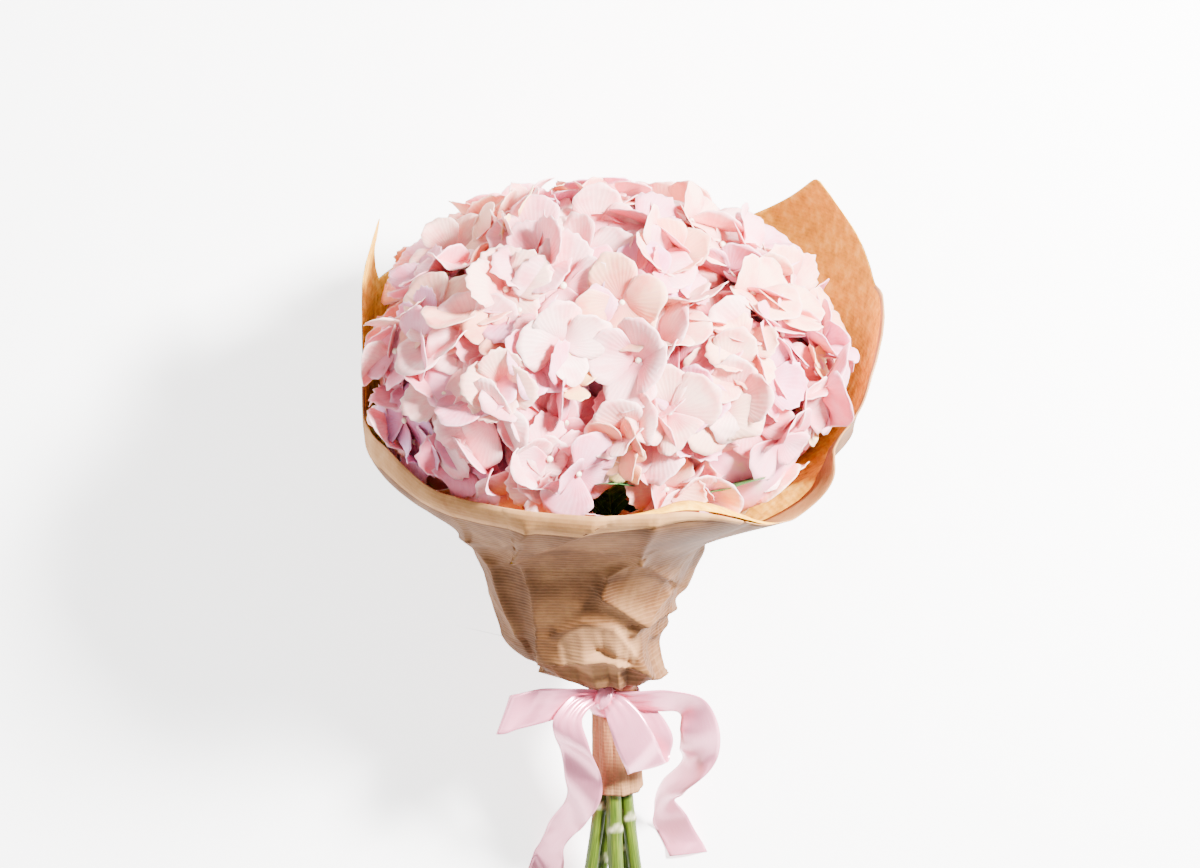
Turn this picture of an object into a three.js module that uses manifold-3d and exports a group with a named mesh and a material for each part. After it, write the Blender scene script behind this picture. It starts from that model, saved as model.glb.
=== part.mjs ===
// Hydrangea bouquet lying on its back: five pink heads on their stems, wrapped in kraft paper and
// tied with a satin bow. Millimetres, +Z up; the heads point along +Y and the floor is Z = 0.
import * as THREE from 'three';
import { mergeVertices } from 'three/addons/utils/BufferGeometryUtils.js';
import Module from 'manifold-3d';

const wasm = await Module();
wasm.setup();

// How the bunch lies: its axis rises toward the heads, the tie stands above the floor.
const LEAN = THREE.MathUtils.degToRad(20);
const TIE_HEIGHT = 87;
const REST_BACK = 200;

// Heads
const HEAD_RADIUS = 79;
const CORE_RADIUS = 60;
const DOME_HALF = { u: 151, v: 140, w: 123 };
const DOME_CENTRE = { u: 4, v: 0, w: 201 };
const DOME_FULLER_LEFT = 0.4;
const VALLEY = 0.2;
const CELL_GAP = 0.4;
const WALL_MARGIN = 6;
const FLORET_DIAMETER = 63;
const FLORET_EDGE = 1.0;
const FLORETS_ROUND_THE_DOME = 110;
const LAYER_STEP = 4;
const LOWEST_FLORET = 140;
const STALK_SUNK = 9;

// Stems
const NECK_RING = 8.2;
const NECK_OFFSET = 8.7;
const STEM_RADIUS = 4.3;
const STEM_LENGTH_BELOW = 211;
const SEAT = 0.3;
const GRID = 0.01;
const FACET = 0.15;

// Paper: how far each wall swells out just above the tie and over what height, then how much it
// gains through the cone, the flare and the top
const PAPER = 1.2;
const PAPER_NECK = 13.9;
const TUBE_BELOW = 70;
const WALLS = {
  left: [44, 40, 21, 70, 4],
  right: [12, 28, 38, 90, 24],
  front: [24, 36, 38, 73, 0],
  back: [36, 28, 82, 42, 22],
};
const RIM_FRONT = 172;
const RIM_BACK = 250;
const RIM_PEAK_RIGHT = 53;
const RIM_PEAK_LEFT = 52;
const RIM_DIP = 30;
const CORNER_OUT = 16;

// Leaves, each from its seat on a stem
const LEAF_SHEET = 0.9;
const LEAVES = {
  front: { base: { u: 6.4, v: 13.4, w: 80 }, tip: { u: 6, v: 137, w: 188 }, face: { u: 0, v: -0.65, w: 0.76 } },
  right: { base: { u: 34.3, v: 23.8, w: 80 }, tip: { u: 97, v: 117, w: 184 }, face: { u: -0.4, v: -0.5, w: 0.76 } },
};
const LEAF_WIDTH = 62;

// Ribbon
const RIBBON_SHEET = 1.1;

const PINK = { color: 0xf2cbd3, roughness: 0.7, metalness: 0 };
const STEM_GREEN = { color: 0x7f9440, roughness: 0.6, metalness: 0 };
const LEAF_GREEN = { color: 0x2d4a2a, roughness: 0.55, metalness: 0 };
const KRAFT = { color: 0xa98468, roughness: 0.85, metalness: 0 };
const SATIN = { color: 0xf3d6dc, roughness: 0.35, metalness: 0 };

const HEADS = {
  front_left: { u: -60, v: 46, w: 195, angle: -72, radius: STEM_RADIUS, end: -18 },
  front_right: { u: 66, v: 48, w: 195, angle: 72, radius: STEM_RADIUS, end: 34 },
  back_left: { u: -60, v: -50, w: 195, angle: -144, radius: STEM_RADIUS, end: -4 },
  back_right: { u: 65, v: -52, w: 195, angle: 144, radius: STEM_RADIUS, end: 21 },
  top: { u: 2, v: 0, w: 240, angle: 0, radius: 5, end: 13 },
};

const clamp01 = (x) => Math.min(1, Math.max(0, x));
const tent = (middle, half, x) => clamp01(1 - Math.abs(x - middle) / half);
const ease = (from, to, x) => {
  const t = clamp01((x - from) / (to - from));
  return t * t * (3 - 2 * t);
};
const chance = (seed, k) => {
  const x = Math.sin(seed * 127.1 + k * 311.7 + 17.3) * 43758.5453;
  return x - Math.floor(x);
};

// Bouquet axes (u right, v up off the floor, w toward the heads) to the lying frame and back.
function place(u, v, w) {
  const y = w * Math.cos(LEAN) - v * Math.sin(LEAN) - REST_BACK;
  const z = w * Math.sin(LEAN) + v * Math.cos(LEAN) + TIE_HEIGHT;
  return new THREE.Vector3(u, y, z);
}

function unplace(p) {
  const y = p.y + REST_BACK;
  const z = p.z - TIE_HEIGHT;
  const v = z * Math.cos(LEAN) - y * Math.sin(LEAN);
  return { u: p.x, v, w: y * Math.cos(LEAN) + z * Math.sin(LEAN) };
}

// Booleans
function toManifold(geometry) {
  const bare = geometry.clone();
  bare.deleteAttribute('normal');
  bare.deleteAttribute('uv');
  const merged = mergeVertices(bare, 1e-5);
  const mesh = new wasm.Mesh({
    numProp: 3,
    vertProperties: new Float32Array(merged.attributes.position.array),
    triVerts: new Uint32Array(merged.index.array),
  });
  mesh.merge();
  return new wasm.Manifold(mesh);
}

function largestBody(solid) {
  return solid.decompose().reduce((best, next) => (next.volume() > best.volume() ? next : best));
}

// Corners closer than a hundredth of a millimetre become one, and faces left without area go.
function toGeometry(solid) {
  const mesh = solid.getMesh();
  const snapped = Float32Array.from(mesh.vertProperties, (x) => Math.round(x / GRID) * GRID);
  const geometry = new THREE.BufferGeometry();
  geometry.setAttribute('position', new THREE.BufferAttribute(snapped, 3));
  geometry.setIndex(new THREE.BufferAttribute(Uint32Array.from(mesh.triVerts), 1));
  const merged = mergeVertices(geometry, GRID / 10);
  const corners = merged.index.array;
  const kept = [];
  for (let i = 0; i < corners.length; i += 3) {
    const [a, b, c] = corners.slice(i, i + 3);
    if (a !== b && b !== c && c !== a) {
      kept.push(a, b, c);
    }
  }
  merged.setIndex(kept);
  merged.computeVertexNormals();
  return merged;
}

function named(name, geometry, look) {
  const mesh = new THREE.Mesh(geometry, new THREE.MeshStandardMaterial(look));
  mesh.name = name;
  return mesh;
}

// A thin sheet of even thickness over a grid of points; `closed` joins its last column to its first.
function sheetSolid(points, thickness, closed) {
  const columns = points.length;
  const rows = points[0].length;
  const at = (i, j) => points[closed ? (i + columns) % columns : THREE.MathUtils.clamp(i, 0, columns - 1)]
    [THREE.MathUtils.clamp(j, 0, rows - 1)];
  const positions = [];
  for (const side of [0.5, -0.5]) {
    for (let i = 0; i < columns; i += 1) {
      for (let j = 0; j < rows; j += 1) {
        const along = at(i + 1, j).clone().sub(at(i - 1, j));
        const across = at(i, j + 1).clone().sub(at(i, j - 1));
        const normal = along.cross(across).normalize();
        positions.push(...at(i, j).clone().addScaledVector(normal, side * thickness).toArray());
      }
    }
  }
  const layer = columns * rows;
  const index = [];
  const quad = (a, b, c, d) => index.push(a, b, c, a, c, d);
  const spans = closed ? columns : columns - 1;
  for (let i = 0; i < spans; i += 1) {
    const here = i * rows;
    const next = ((i + 1) % columns) * rows;
    for (let j = 0; j < rows - 1; j += 1) {
      quad(here + j, next + j, next + j + 1, here + j + 1);
      quad(layer + here + j, layer + here + j + 1, layer + next + j + 1, layer + next + j);
    }
    quad(here, layer + here, layer + next, next);
    quad(here + rows - 1, next + rows - 1, layer + next + rows - 1, layer + here + rows - 1);
  }
  if (!closed) {
    const last = (columns - 1) * rows;
    for (let j = 0; j < rows - 1; j += 1) {
      quad(j, j + 1, layer + j + 1, layer + j);
      quad(last + j, layer + last + j, layer + last + j + 1, last + j + 1);
    }
  }
  const geometry = new THREE.BufferGeometry();
  geometry.setAttribute('position', new THREE.Float32BufferAttribute(positions, 3));
  geometry.setIndex(index);
  return geometry;
}

// Paper wrap -------------------------------------------------------------------------------------

// The axis of the wrap leans a little: the neck stands right of the middle of the heads.
const axisU = (w) => (w < 0 ? NECK_OFFSET - w * 0.033 : NECK_OFFSET * (1 - ease(0, 70, w)) + 5 * ease(90, 200, w));

function wallReach(side, w) {
  const [bulge, spread, cone, flare, top] = WALLS[side];
  const below = Math.max(0, -w) * 0.032;
  const lean = 12 * ease(255, 315, w);
  const swell = 1 - (1 - clamp01(w / spread)) ** 2;
  return PAPER_NECK + below + bulge * swell + cone * clamp01((w - 20) / 85)
    + flare * ease(100, 172, w) + top * clamp01((w - 175) / 100) - lean;
}

function fold(angle, w) {
  const open = ease(6, 40, w) * (1 - 0.55 * ease(110, 180, w));
  return open * (1.9 * Math.sin(3 * angle + 0.035 * w) + 1.1 * Math.sin(4 * angle - 0.02 * w + 1));
}

// Reach of the paper at an angle measured from the front, right being positive; the sheet's corner
// sticks out at the front right.
function paperPoint(angle, w) {
  const corner = CORNER_OUT * tent(55, 14, THREE.MathUtils.radToDeg(angle)) * ease(110, 150, w);
  const out = fold(angle, w) + corner;
  const a = wallReach(Math.sin(angle) >= 0 ? 'right' : 'left', w) + out;
  const b = wallReach(Math.cos(angle) >= 0 ? 'front' : 'back', w) + out;
  return { u: axisU(w) + a * Math.sin(angle), v: b * Math.cos(angle), w };
}

// The rim dips to the corner at the front right and rises behind it to two peaks.
function rimHeight(degrees) {
  const turn = degrees > 180 ? degrees - 360 : degrees;
  const front = RIM_FRONT + 12 * ease(40, 65, -turn) - RIM_DIP * ease(15, 52, turn) * (1 - ease(54, 68, turn));
  const rise = turn > 0 ? ease(62, 102, turn) : ease(84, 98, -turn);
  const peaks = RIM_PEAK_RIGHT * tent(127, turn < 127 ? 23 : 30, turn) ** 1.3 + RIM_PEAK_LEFT * tent(-98, 11, turn);
  return front + (RIM_BACK - front) * rise + peaks;
}

function paperWrap(thickness) {
  const columns = [];
  const spans = 36;
  const stations = [-1, -0.5, -0.03, 0.04, 0.08, 0.13, 0.2, 0.33, 0.46, 0.57, 0.68, 0.79, 0.9, 1];
  for (let i = 0; i < spans; i += 1) {
    const degrees = (i * 360) / spans;
    const angle = THREE.MathUtils.degToRad(degrees);
    const column = [];
    for (const station of stations) {
      const w = station < 0 ? station * TUBE_BELOW : station * rimHeight(degrees);
      const p = paperPoint(angle, w);
      const point = place(p.u, p.v, p.w);
      point.z = Math.max(point.z, PAPER / 2);
      column.push(point);
    }
    columns.push(column);
  }
  return sheetSolid(columns, thickness, true);
}

// Heads ------------------------------------------------------------------------------------------

const centres = {};
for (const [name, head] of Object.entries(HEADS)) {
  centres[name] = place(head.u, head.v, head.w);
}

// The flat boundaries between a head and its neighbours: a point and the way into the head's side.
function boundaries(name) {
  return Object.keys(HEADS).filter((other) => other !== name).map((other) => {
    const point = centres[name].clone().add(centres[other]).multiplyScalar(0.5);
    return { point, inward: centres[name].clone().sub(centres[other]).normalize() };
  });
}

const squeeze = (s, gap, soft) => (s >= soft ? s : gap + (soft - gap) * Math.exp((s - soft) / (soft - gap)));

// Petals that would cross into the next head or through the paper are bent back to their own side.
function bendClear(p, name) {
  for (let pass = 0; pass < 3; pass += 1) {
    for (const { point, inward } of boundaries(name)) {
      const s = p.clone().sub(point).dot(inward);
      p.addScaledVector(inward, squeeze(s, CELL_GAP + 0.7, 9) - s);
    }
  }
  const q = unplace(p);
  const axis = axisU(q.w);
  const a = wallReach(q.u >= axis ? 'right' : 'left', q.w) - WALL_MARGIN;
  const b = wallReach(q.v >= 0 ? 'front' : 'back', q.w) - WALL_MARGIN;
  const share = Math.hypot((q.u - axis) / a, q.v / b);
  const reach = Math.hypot(q.u - axis, q.v) / share;
  const scale = (reach - squeeze(reach * (1 - share), PAPER / 2 + 1.4, 9)) / (reach * share);
  return place(axis + (q.u - axis) * scale, q.v * scale, q.w);
}

// Four broad petals in one lobed blade on a short stalk, made at the origin with its face toward +Z.
function floretParts(seed, stalkLength) {
  const points = 12;
  const radius = (FLORET_DIAMETER / 2) * (0.92 + 0.16 * chance(seed, 1));
  const droop = -5 + 4 * chance(seed, 2);
  const top = [];
  const bottom = [];
  for (let i = 0; i < points; i += 1) {
    const notch = i % 3 === 0;
    const reach = notch ? 0.56 : 1;
    const angle = ((i + [0, -0.08, 0.08][i % 3]) / points) * 2 * Math.PI;
    const lobe = Math.floor(i / 3);
    const z = droop * reach * reach + (chance(seed, 10 + lobe) - 0.5) * 4 * reach + (notch ? -1 : 0);
    top.push([radius * reach * Math.cos(angle), radius * reach * Math.sin(angle), z + FLORET_EDGE / 2]);
    bottom.push([radius * reach * Math.cos(angle), radius * reach * Math.sin(angle), z - FLORET_EDGE / 2]);
  }
  const positions = [[0, 0, 0.5], [0, 0, -1.8], ...top, ...bottom].flat();
  const index = [];
  for (let i = 0; i < points; i += 1) {
    const next = (i + 1) % points;
    index.push(0, 2 + i, 2 + next);
    index.push(1, 2 + points + next, 2 + points + i);
    index.push(2 + i, 2 + points + i, 2 + points + next);
    index.push(2 + i, 2 + points + next, 2 + next);
  }
  const blade = new THREE.BufferGeometry();
  blade.setAttribute('position', new THREE.Float32BufferAttribute(positions, 3));
  blade.setIndex(index);
  const stalk = new THREE.CylinderGeometry(1.6, 2.8, stalkLength, 3);
  stalk.rotateX(Math.PI / 2);
  stalk.translate(0, 0, -stalkLength / 2 - 0.4);
  return [blade, stalk];
}

// Florets are spread evenly over the whole dome and shared out to the nearest head, each drawn part
// of the way back to its own head's ball so that shallow valleys run between the heads.
function shareFlorets() {
  const spots = Object.fromEntries(Object.keys(HEADS).map((name) => [name, []]));
  for (let k = 0; k < FLORETS_ROUND_THE_DOME; k += 1) {
    const height = 1 - (2 * k + 1) / FLORETS_ROUND_THE_DOME;
    const turn = k * Math.PI * (3 - Math.sqrt(5));
    const flat = Math.sqrt(1 - height * height);
    const [x, y] = [flat * Math.cos(turn), flat * Math.sin(turn)];
    const boxy = 2 + DOME_FULLER_LEFT * clamp01(-2 * x);
    const reach = (Math.abs(x) ** boxy + Math.abs(y) ** boxy + Math.abs(height) ** boxy) ** (-1 / boxy);
    const u = DOME_CENTRE.u + DOME_HALF.u * reach * x;
    const v = DOME_CENTRE.v + DOME_HALF.v * reach * y;
    const onDome = place(u, v, DOME_CENTRE.w + DOME_HALF.w * reach * height);
    const distance = (name) => onDome.distanceTo(centres[name]);
    const name = Object.keys(HEADS).reduce((best, next) => (distance(next) < distance(best) ? next : best));
    const aim = onDome.clone().sub(centres[name]).normalize();
    const onBall = centres[name].clone().addScaledVector(aim, HEAD_RADIUS);
    const spot = onDome.clone().lerp(onBall, VALLEY);
    for (const { point, inward } of boundaries(name)) {
      const s = spot.clone().sub(point).dot(inward);
      spot.addScaledVector(inward, squeeze(s, 13, 20) - s);
    }
    if (unplace(spot).w > LOWEST_FLORET) {
      const layer = ((k % 3) - 2) * LAYER_STEP;
      spots[name].push({ spot: spot.addScaledVector(aim, layer), aim, seed: k + 1 });
    }
  }
  return spots;
}

// Everything on the inward side of a flat boundary.
function halfSpace(point, inward) {
  const box = new THREE.BoxGeometry(900, 900, 900);
  box.translate(0, 0, 450);
  box.applyQuaternion(new THREE.Quaternion().setFromUnitVectors(new THREE.Vector3(0, 0, 1), inward));
  box.translate(point.x, point.y, point.z);
  return toManifold(box);
}

function headSolid(name, spots, neighbours) {
  const core = new THREE.SphereGeometry(CORE_RADIUS, 12, 8);
  core.translate(centres[name].x, centres[name].y, centres[name].z);
  const pieces = [toManifold(core)];
  for (const { spot, aim, seed } of spots) {
    const face = new THREE.Quaternion().setFromUnitVectors(new THREE.Vector3(0, 0, 1), aim);
    const stalkLength = spot.distanceTo(centres[name]) - CORE_RADIUS + STALK_SUNK;
    for (const geometry of floretParts(seed, stalkLength)) {
      geometry.rotateZ(chance(seed, 5) * Math.PI);
      geometry.applyQuaternion(face);
      geometry.translate(spot.x, spot.y, spot.z);
      const position = geometry.attributes.position;
      for (let i = 0; i < position.count; i += 1) {
        const p = bendClear(new THREE.Vector3().fromBufferAttribute(position, i), name);
        position.setXYZ(i, p.x, p.y, p.z);
      }
      pieces.push(toManifold(geometry));
    }
  }
  let solid = wasm.Manifold.union(pieces);
  for (const { point, inward } of boundaries(name)) {
    solid = solid.intersect(halfSpace(point.clone().addScaledVector(inward, CELL_GAP), inward));
  }
  for (const neighbour of neighbours) {
    solid = solid.subtract(neighbour);
  }
  return largestBody(solid.simplify(FACET));
}

// Stems ------------------------------------------------------------------------------------------

function stalkAlong(points, radius) {
  const section = new THREE.Shape().absarc(0, 0, radius, 0, 2 * Math.PI);
  const extrudePath = new THREE.CatmullRomCurve3(points, false, 'centripetal');
  const geometry = new THREE.ExtrudeGeometry(section, { steps: 9, curveSegments: 4, extrudePath });
  const position = geometry.attributes.position;
  for (let i = 0; i < position.count; i += 1) {
    position.setZ(i, Math.max(position.getZ(i), 0));
  }
  return geometry;
}

// A stem runs from its cut end through the tie and out to a seat in the underside of its head.
function stemLine(name) {
  const head = HEADS[name];
  const angle = THREE.MathUtils.degToRad(head.angle);
  const neck = { u: NECK_OFFSET + NECK_RING * Math.sin(angle), v: NECK_RING * Math.cos(angle) };
  const reach = Math.hypot(head.u - neck.u, head.v - neck.v);
  const seat = { u: head.u - ((head.u - neck.u) / reach) * Math.min(14, reach), w: head.w - CORE_RADIUS + 18 };
  seat.v = head.v - ((head.v - neck.v) / reach) * Math.min(14, reach);
  const endV = neck.v < 0 ? -11.7 : neck.v * 0.9;
  return [
    place(head.end, endV, -STEM_LENGTH_BELOW),
    place(neck.u, neck.v, -TUBE_BELOW),
    place(neck.u, neck.v, -14),
    place(neck.u, neck.v, 2),
    place(neck.u + (seat.u - neck.u) * 0.42, neck.v + (seat.v - neck.v) * 0.42, seat.w * 0.52),
    place(seat.u, seat.v, seat.w),
  ];
}

// Leaves -----------------------------------------------------------------------------------------

// A pointed leaf on its stalk, cupped along the midrib, rising inside the paper toward the rim.
function leafSolid({ base, tip, face }, thickness, spare) {
  const from = place(base.u, base.v, base.w);
  const way = place(tip.u, tip.v, tip.w).sub(from);
  const length = way.length();
  way.normalize();
  const out = place(face.u, face.v, face.w).sub(place(0, 0, 0)).normalize();
  const across = way.clone().cross(out).normalize();
  const columns = [];
  const rounds = 9;
  for (let i = -2; i <= 2; i += 1) {
    const column = [];
    for (let j = 0; j <= rounds; j += 1) {
      const t = j / rounds;
      const blade = clamp01((t - 0.28) / 0.72);
      const half = Math.max(1.6 - 1.2 * t, (LEAF_WIDTH / 2) * Math.sin(Math.PI * blade ** 0.8) ** 0.85);
      const side = (i / 2) * (half + spare);
      const arch = length * 0.13 * Math.sin(Math.PI * t) - 0.006 * side * side;
      const along = length * t + spare * (2 * t - 1);
      const point = from.clone().addScaledVector(way, along).addScaledVector(across, side);
      column.push(point.addScaledVector(out, arch));
    }
    columns.push(column);
  }
  return sheetSolid(columns, thickness, false);
}

// Ribbon -----------------------------------------------------------------------------------------

// A strip of ribbon follows its middle line; each step gives the strip's crosswise direction and width.
function ribbonStrip(steps, rounds, bow) {
  const middle = new THREE.CatmullRomCurve3(steps.map((step) => step.at));
  const side = new THREE.CatmullRomCurve3(steps.map((step) => step.across.clone().setLength(step.width / 2)));
  const columns = [];
  for (let i = 0; i <= rounds; i += 1) {
    const at = middle.getPoint(i / rounds);
    const half = side.getPoint(i / rounds);
    const crown = middle.getTangent(i / rounds).cross(half).setLength(bow);
    columns.push([-1, 0, 1].map((k) => {
      const point = at.clone().addScaledVector(half, k).addScaledVector(crown, k === 0 ? 1 : 0);
      point.z = Math.max(point.z, RIBBON_SHEET / 2);
      return point;
    }));
  }
  return toManifold(sheetSolid(columns, RIBBON_SHEET, false));
}

const step = (at, across, width) => ({ at, across, width });

function neckBand() {
  const columns = [];
  for (let i = 0; i < 20; i += 1) {
    const angle = (i / 20) * 2 * Math.PI;
    const radius = PAPER_NECK + PAPER / 2 + SEAT + RIBBON_SHEET / 2 + 0.7;
    const around = (w, r) => place(axisU(w) + r * Math.sin(angle), r * Math.cos(angle), w);
    columns.push([around(-16, radius), around(-9.5, radius + 1), around(-3, radius)]);
  }
  return toManifold(sheetSolid(columns, RIBBON_SHEET, true));
}

function knot() {
  const ball = new THREE.SphereGeometry(1, 10, 6);
  ball.scale(5.5, 5, 6.5);
  const at = place(0, 19, -6);
  ball.translate(at.x, at.y, at.z);
  return toManifold(ball);
}

// Steps are given right of the tie, up past it and above the floor.
const by = (x, y, z, across, width) => step(new THREE.Vector3(x, y - REST_BACK, z), new THREE.Vector3(...across), width);
const LEFT_LOOP = [
  by(-1, -5.5, 110, [0, 0.9, 0.45], 8),
  by(-13, -6.5, 117, [0.05, 0.92, 0.4], 14),
  by(-27, -9.5, 119, [0.12, 0.97, 0.2], 20),
  by(-42, -12.5, 118, [0.18, 0.97, 0.1], 23.5),
  by(-55, -16, 116, [0.22, 0.97, 0], 24.5),
  by(-60, -18, 111, [0.24, 0.97, -0.1], 24.5),
  by(-54, -16, 106, [0.22, 0.97, -0.1], 24),
  by(-36, -11, 107, [0.15, 0.97, 0], 20),
  by(-14, -8, 111, [0, 0.97, 0.1], 11),
  by(-1, -6, 106, [0, 0.95, 0.3], 8),
];
const RIGHT_LOOP = [
  by(2, -6, 108, [0.3, 0.9, 0.2], 8),
  by(9, -10, 117, [0.75, 0.6, 0.2], 15),
  by(16, -21, 119, [0.88, 0.47, 0.05], 22),
  by(22, -34, 114, [0.9, 0.43, 0], 25),
  by(27, -45, 106, [0.9, 0.43, 0], 25),
  by(30, -52, 97, [0.9, 0.43, -0.05], 25),
  by(33, -47, 91.5, [0.93, 0.36, -0.1], 25),
  by(34, -32, 95, [0.95, 0.25, -0.1], 23),
  by(25, -16, 104, [0.9, 0.45, 0], 16),
  by(5, -9, 106, [0.3, 0.9, 0.2], 8),
];
const LEFT_TAIL = [
  by(-2, -5, 110, [-0.8, 0.5, 0], 9),
  by(-13, -10, 119, [-0.7, 0.7, 0], 13),
  by(-20, -20, 121, [-0.97, 0.2, 0], 18),
  by(-17.5, -33, 114, [-0.97, 0.15, -0.1], 22),
  by(-14, -45, 102, [-0.95, 0.2, -0.2], 23.5),
  by(-11, -58, 90, [-0.95, 0.3, -0.2], 24),
  by(-10, -70, 78, [-0.8, 0.35, -0.4], 24),
  by(-15, -82, 60, [-0.75, 0.35, -0.55], 24),
  by(-23, -94, 40, [-0.8, 0.2, -0.5], 24),
  by(-30, -106, 20, [-0.35, 0.1, -0.6], 24),
  by(-33, -118, 7, [-0.7, 0.2, -0.4], 25),
  by(-37, -135, 0.8, [-0.95, 0.3, 0], 25),
  by(-41, -155, 0.6, [-0.95, 0.3, 0], 25),
];
const RIGHT_TAIL = [
  by(4, -6, 108, [0.2, 0.8, 0.3], 8),
  by(21, -7, 113, [0.1, 0.6, 0.7], 15),
  by(42, -9, 111, [0.2, 0.5, 0.85], 23),
  by(58, -13, 104, [0.6, 0.5, 0.6], 25),
  by(63, -27, 93, [1, 0.05, 0.1], 25),
  by(63, -43, 76, [0.9, -0.25, 0.15], 25),
  by(58, -56, 59, [0.45, -0.35, 0.6], 25),
  by(48, -68, 42, [0.5, -0.3, 0.7], 25),
  by(42, -80, 24, [0.35, 0.1, 0.8], 24),
  by(46, -94, 8, [0.85, 0.2, 0.3], 25),
  by(54, -108, 0.8, [0.95, 0.1, 0], 25),
  by(58, -116, 0.6, [0.95, 0.1, 0], 25),
];

// Assembly ---------------------------------------------------------------------------------------

const bouquet = new THREE.Group();
bouquet.name = 'hydrangea_bouquet';

const clearances = [toManifold(paperWrap(PAPER + 4 * SEAT))];
for (const [name, head] of Object.entries(HEADS)) {
  const line = stemLine(name);
  bouquet.add(named(`stem_${name}`, stalkAlong(line, head.radius), STEM_GREEN));
  const beyond = line.at(-1).clone().add(line.at(-1).clone().sub(line.at(-2)).setLength(SEAT));
  clearances.push(toManifold(stalkAlong([...line.slice(0, -1), beyond], head.radius + SEAT)));
}

for (const [name, leaf] of Object.entries(LEAVES)) {
  bouquet.add(named(`leaf_${name}`, leafSolid(leaf, LEAF_SHEET, 0), LEAF_GREEN));
  clearances.push(toManifold(leafSolid(leaf, LEAF_SHEET + 2 * SEAT, 2 * SEAT)));
}

for (const [name, spots] of Object.entries(shareFlorets())) {
  bouquet.add(named(`head_${name}`, toGeometry(headSolid(name, spots, clearances)), PINK));
}

bouquet.add(named('paper_wrap', paperWrap(PAPER), KRAFT));

const bow = wasm.Manifold.union([
  neckBand(),
  knot(),
  ribbonStrip(LEFT_LOOP, 18, 1),
  ribbonStrip(RIGHT_LOOP, 18, 1),
  ribbonStrip(LEFT_TAIL, 20, 0.8),
  ribbonStrip(RIGHT_TAIL, 20, 0.8),
]);
bouquet.add(named('ribbon', toGeometry(bow), SATIN));

export default bouquet;
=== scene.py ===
"""Looks for the hydrangea bouquet: mophead florets, leaves, stems, ribbed kraft paper and a satin bow,
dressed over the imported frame. Metres in the scene, +Z up; the shapes below are worked out in millimetres."""

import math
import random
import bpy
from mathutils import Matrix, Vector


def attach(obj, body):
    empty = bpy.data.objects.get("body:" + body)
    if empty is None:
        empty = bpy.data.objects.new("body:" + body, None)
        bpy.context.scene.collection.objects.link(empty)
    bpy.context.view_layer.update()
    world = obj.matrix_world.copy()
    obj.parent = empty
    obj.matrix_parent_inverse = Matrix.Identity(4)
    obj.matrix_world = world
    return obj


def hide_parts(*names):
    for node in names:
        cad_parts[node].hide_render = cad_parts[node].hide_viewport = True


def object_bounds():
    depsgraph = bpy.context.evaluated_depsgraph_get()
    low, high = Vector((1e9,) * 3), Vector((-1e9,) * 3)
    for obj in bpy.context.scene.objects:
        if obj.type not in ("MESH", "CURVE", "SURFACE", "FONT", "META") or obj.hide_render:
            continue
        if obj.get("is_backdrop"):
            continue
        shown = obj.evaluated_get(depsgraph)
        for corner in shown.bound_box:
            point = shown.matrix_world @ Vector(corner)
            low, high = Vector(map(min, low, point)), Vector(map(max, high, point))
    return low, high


bl_info = {
    "name": "Hydrangea bouquet",
    "version": (1, 0, 0),
    "blender": (4, 5, 0),
    "location": "3D View > Sidebar > Bouquet",
    "description": "Builds a wrapped hydrangea bouquet piece by piece over its packed solids",
    "category": "Add Mesh",
}

import bmesh
import bpy
from mathutils import Matrix, Quaternion, Vector, noise

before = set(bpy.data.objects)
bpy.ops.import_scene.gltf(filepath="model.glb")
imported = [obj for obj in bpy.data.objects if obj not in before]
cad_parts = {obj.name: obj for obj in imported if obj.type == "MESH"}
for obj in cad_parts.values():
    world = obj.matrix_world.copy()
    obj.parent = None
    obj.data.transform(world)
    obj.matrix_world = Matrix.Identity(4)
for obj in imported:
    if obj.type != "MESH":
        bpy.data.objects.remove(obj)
CAD_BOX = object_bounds()

MM = 0.001
TAU = 2 * math.pi

# The photograph: its width in pixels and what one pixel spans on the bouquet
PHOTO_WIDTH = 1200
PIXEL = 0.62
# Where the camera stands along the bunch, and the height the lights aim at, in metres
CAMERA_Y = -0.041
LIGHTS_AIM = 0.12

# How the bunch lies
LEAN = math.radians(20)
TIE_HEIGHT = 87
REST_BACK = 200

# Heads, in bouquet axes: u right, v up off the floor, w toward the heads
HEADS = {
    "front_left": (-60, 46, 195),
    "front_right": (66, 48, 195),
    "back_left": (-60, -50, 195),
    "back_right": (65, -52, 195),
    "top": (2, 0, 240),
}
NECK_ANGLE = {"front_left": -72, "front_right": 72, "back_left": -144, "back_right": 144, "top": 0}
CUT_END = {"front_left": -18, "front_right": 34, "back_left": -4, "back_right": 21, "top": 13}
HEAD_RADIUS = 79
CORE_RADIUS = 60
DOME_HALF = (151, 140, 123)
DOME_CENTRE = (4, 0, 201)
DOME_FULLER_LEFT = 0.15
VALLEY = 0.2
LOWEST_FLORET = 130
FLORET_ROOM = 14
PETALS_KEEP = {"left": -144.5, "up": 294.0, "top": 119.0}
SEPAL_CELLS = 8
VEINS = 64.0
# Spans that a sepal's cup, crease, wave and the wave's start are drawn from
SEPAL_SPANS = ((-0.32, 0.16), (-0.05, 0.2), (0.5, 2.2), (0, TAU))
# Where the front leaf looks out between the florets: its middle and half width, how far toward the
# front and how far up the bunch
LEAF_WINDOW = (6, 19, 60, 128)

# Neck and stems
NECK_RING = 8.2
NECK_OFFSET = 8.7
STEM_LENGTH_BELOW = 211
STEM_RADIUS = 4.3
TOP_STEM_RADIUS = 5.0
TUBE_BELOW = 70

# How far below the tie a leaf was stripped from each stem, which leaves a pale scar
STEM_JOINTS = {"front_left": -84, "front_right": -92, "back_left": -126, "back_right": -118, "top": -97}

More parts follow.
